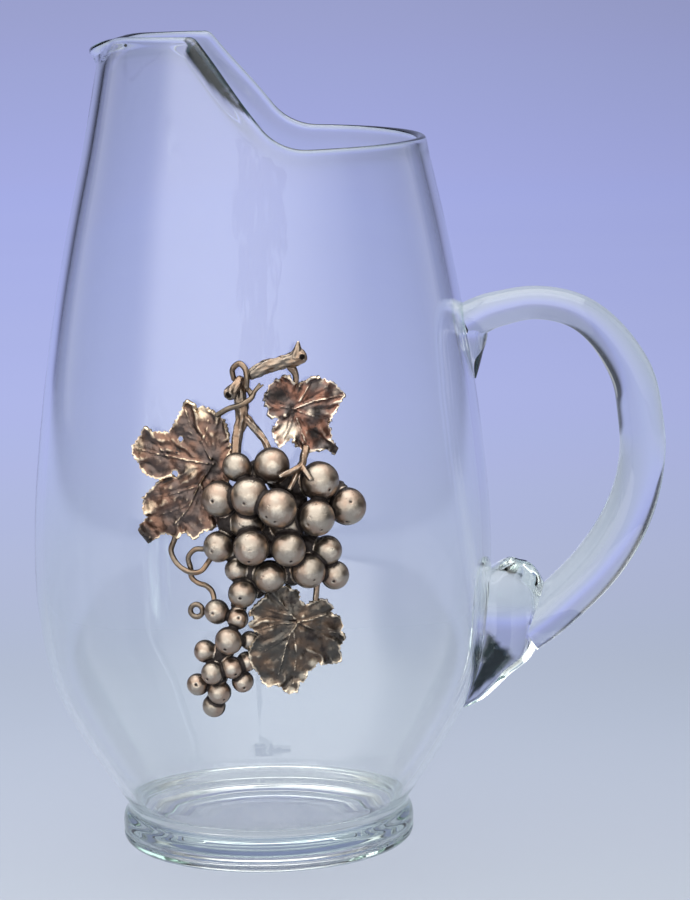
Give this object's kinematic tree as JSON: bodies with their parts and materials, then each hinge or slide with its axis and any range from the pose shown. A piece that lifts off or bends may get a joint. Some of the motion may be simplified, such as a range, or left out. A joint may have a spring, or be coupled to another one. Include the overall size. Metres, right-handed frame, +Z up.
{
  "type": "glass pitcher",
  "caption": "Clear glass pitcher with a slanted rim, a small pouring lip, a looped rod handle, a foot ring and a cast metal grape cluster on its side.",
  "frame": {"origin": "centre of the foot ring's resting face", "axes": "+Z up along the vessel's axis, +X towards the handle, -X towards the pouring lip, -Y towards the ornament"},
  "size_m": [0.1982, 0.1592, 0.254],
  "materials": {
    "clear_glass": "clear, smooth and glossy, faintly grey-green, with fire-polished edges",
    "antiqued_metal": "cast pewter, antiqued: pale rubbed highlights, brown and copper tints, near-black hollows",
    "antiqued_leaf": "cast pewter, antiqued darker, with lit veins and copper patches",
    "adhesive": "clear hardened adhesive"
  },
  "bodies": {
    "root": {"vessel": "clear_glass", "foot_ring": "clear_glass", "handle": "clear_glass", "handle_pad": "clear_glass", "main_bunch": "antiqued_metal", "tip_bunch": "antiqued_metal", "cane": "antiqued_metal", "cane_loop": "antiqued_metal", "knot": "antiqued_metal", "main_stalk": "antiqued_metal", "side_stalk": "antiqued_metal", "right_leaf_stem": "antiqued_metal", "lower_leaf_stem": "antiqued_metal", "upper_tendril": "antiqued_metal", "curl_tendril": "antiqued_metal", "loop_tendril": "antiqued_metal", "tendril_ring": "antiqued_metal", "left_leaf": "antiqued_leaf", "right_leaf": "antiqued_leaf", "lower_leaf": "antiqued_leaf", "glue_dots": "adhesive"}
  },
  "joints": []
}
